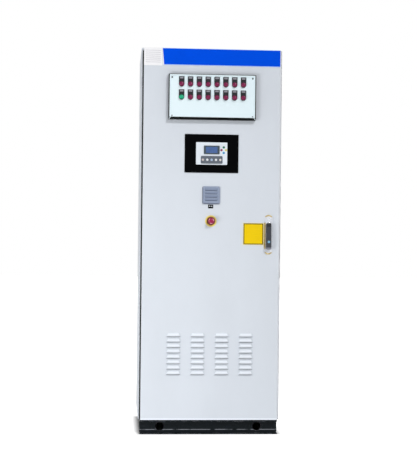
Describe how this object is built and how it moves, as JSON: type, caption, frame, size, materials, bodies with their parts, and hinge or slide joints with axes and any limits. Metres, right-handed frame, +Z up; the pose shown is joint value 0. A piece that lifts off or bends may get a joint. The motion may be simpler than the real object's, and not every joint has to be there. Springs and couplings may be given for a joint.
{
  "type": "industrial battery charger cabinet",
  "caption": "Floor-standing industrial battery charger: louvred steel cabinet with an instrumented, rod-locked door on a channel plinth.",
  "frame": {"origin": "on the floor, in the middle of the plinth's four anchor holes", "axes": "+X to the right seen from the front, +Y from the door to the rear, +Z up"},
  "size_m": [0.76, 0.688, 2.075],
  "materials": {
    "powder_coat_grey": "fine textured powder coat",
    "plinth_black": "black paint, scuffed at the edges",
    "rubber_black": "extruded rubber",
    "zinc_steel": "zinc plated sheet",
    "moulded_black": "moulded, slightly textured",
    "core_steel": "varnished laminations",
    "coil_varnish": "wound copper under varnish tape",
    "heatsink_aluminium": "extruded aluminium",
    "capacitor_blue": "shrink sleeve",
    "busbar_copper": "drawn copper bar",
    "toggle_grey": "moulded",
    "duct_grey": "extruded PVC",
    "terminal_beige": "moulded polyamide",
    "board_green": "solder mask",
    "header_blue": "vinyl film",
    "label_white": "vinyl film",
    "panel_white": "coated plate",
    "lens_magenta": "translucent moulded lens",
    "lens_green": "translucent moulded lens",
    "surround_black": "black panel",
    "controller_white": "moulded",
    "bezel_slate": "moulded",
    "lens_clear": "translucent lens",
    "keypad_grey": "moulded",
    "key_light": "moulded",
    "sounder_grey": "moulded",
    "placard_yellow": "vinyl film",
    "disc_yellow": "moulded",
    "stop_red": "moulded",
    "handle_chrome": "bright chrome",
    "hub_steel": "machined steel",
    "lever_charcoal": "satin paint on a die casting",
    "lock_blue": "moulded cap"
  },
  "bodies": {
    "cabinet": {"plinth_front_channel": "plinth_black", "plinth_rear_channel": "plinth_black", "plinth_side_channels": "plinth_black", "front_frame": "zinc_steel", "rear_frame": "zinc_steel", "frame_rails": "zinc_steel", "left_side_panel": "powder_coat_grey", "right_side_panel": "powder_coat_grey", "rear_panel": "powder_coat_grey", "roof_panel": "powder_coat_grey", "floor_plate": "zinc_steel", "cable_glands": "moulded_black", "rim_seal": "rubber_black", "hinge_pins": "moulded_black", "mounting_plate": "zinc_steel", "transformer_core": "core_steel", "transformer_coils": "coil_varnish", "smoothing_choke": "core_steel", "rectifier_heatsink": "heatsink_aluminium", "thyristor_modules": "moulded_black", "filter_capacitors": "capacitor_blue", "busbars": "busbar_copper", "switchgear_cases": "moulded_black", "wiring_ducts": "duct_grey", "terminal_strip": "terminal_beige", "control_board": "board_green"},
    "door": {"door": "powder_coat_grey", "door_stiffeners": "zinc_steel", "hinge_barrels": "moulded_black", "header_strip": "header_blue", "corner_label": "label_white", "indicator_frame": "moulded_black", "indicator_plate": "panel_white", "lamp_holders": "moulded_black", "red_lenses": "lens_magenta", "green_lens": "lens_green", "controller_surround": "surround_black", "controller_case": "controller_white", "display_bezel": "bezel_slate", "status_lenses": "lens_clear", "keypad_strip": "keypad_grey", "sounder": "sounder_grey", "yellow_placard": "placard_yellow", "stop_button_disc": "disc_yellow", "stop_button_body": "moulded_black", "handle_escutcheon": "handle_chrome"},
    "input_toggle": {"input_toggle": "toggle_grey"},
    "output_toggle": {"output_toggle": "toggle_grey"},
    "key_1": {"key_1": "key_light"},
    "key_2": {"key_2": "key_light"},
    "key_3": {"key_3": "key_light"},
    "key_4": {"key_4": "key_light"},
    "key_5": {"key_5": "key_light"},
    "stop_plunger": {"stop_plunger": "hub_steel"},
    "stop_head": {"stop_head": "stop_red"},
    "handle_hub": {"handle_hub": "hub_steel"},
    "handle_lever": {"handle_lever": "lever_charcoal"},
    "lock_cylinder": {"lock_cylinder": "lock_blue"},
    "upper_rod": {"upper_rod": "zinc_steel"},
    "lower_rod": {"lower_rod": "zinc_steel"}
  },
  "joints": [
    {"name": "door_hinge", "type": "hinge", "parent": "cabinet", "child": "door", "pos_m": [-0.372, -0.3155, 1.075], "axis": [0, 0, -1], "range_deg": [0, 120]},
    {"name": "handle_turn", "type": "hinge", "parent": "door", "child": "handle_hub", "pos_m": [0.312, -0.331, 1.131], "axis": [0, 1, 0], "range_deg": [0, 90]},
    {"name": "lever_lift", "type": "hinge", "parent": "handle_hub", "child": "handle_lever", "pos_m": [0.312, -0.341, 1.131], "axis": [-1, 0, 0], "range_deg": [0, 30]},
    {"name": "lock_turn", "type": "hinge", "parent": "handle_lever", "child": "lock_cylinder", "pos_m": [0.312, -0.345, 1.037], "axis": [0, 1, 0], "range_deg": [0, 90]},
    {"name": "upper_rod_slide", "type": "slide", "parent": "door", "child": "upper_rod", "axis": [0, 0, -1], "range_m": [0, 0.0236]},
    {"name": "lower_rod_slide", "type": "slide", "parent": "door", "child": "lower_rod", "axis": [0, 0, 1], "range_m": [0, 0.0236]},
    {"name": "stop_press", "type": "slide", "parent": "door", "child": "stop_plunger", "axis": [0, 1, 0], "range_m": [0, 0.006]},
    {"name": "stop_twist", "type": "hinge", "parent": "stop_plunger", "child": "stop_head", "pos_m": [0, -0.355, 1.146], "axis": [0, 1, 0], "range_deg": [0, 45], "stiffness_Nm_per_rad": 0.02, "springref_deg": -17.19},
    {"name": "input_toggle_throw", "type": "hinge", "parent": "cabinet", "child": "input_toggle", "pos_m": [-0.2175, 0.128, 1.5575], "axis": [1, 0, 0], "range_deg": [0, 40]},
    {"name": "output_toggle_throw", "type": "hinge", "parent": "cabinet", "child": "output_toggle", "pos_m": [0.2175, 0.128, 1.5575], "axis": [1, 0, 0], "range_deg": [0, 40]},
    {"name": "key_1_press", "type": "slide", "parent": "door", "child": "key_1", "axis": [0, 1, 0], "range_m": [0, 0.001], "stiffness_N_per_m": 300, "springref_m": -0.001},
    {"name": "key_2_press", "type": "slide", "parent": "door", "child": "key_2", "axis": [0, 1, 0], "range_m": [0, 0.001], "stiffness_N_per_m": 300, "springref_m": -0.001},
    {"name": "key_3_press", "type": "slide", "parent": "door", "child": "key_3", "axis": [0, 1, 0], "range_m": [0, 0.001], "stiffness_N_per_m": 300, "springref_m": -0.001},
    {"name": "key_4_press", "type": "slide", "parent": "door", "child": "key_4", "axis": [0, 1, 0], "range_m": [0, 0.001], "stiffness_N_per_m": 300, "springref_m": -0.001},
    {"name": "key_5_press", "type": "slide", "parent": "door", "child": "key_5", "axis": [0, 1, 0], "range_m": [0, 0.001], "stiffness_N_per_m": 300, "springref_m": -0.001}
  ],
  "couplings": [
    {"joint": "upper_rod_slide", "follows": "handle_turn", "m_per_rad": 0.015},
    {"joint": "lower_rod_slide", "follows": "handle_turn", "m_per_rad": 0.015}
  ]
}
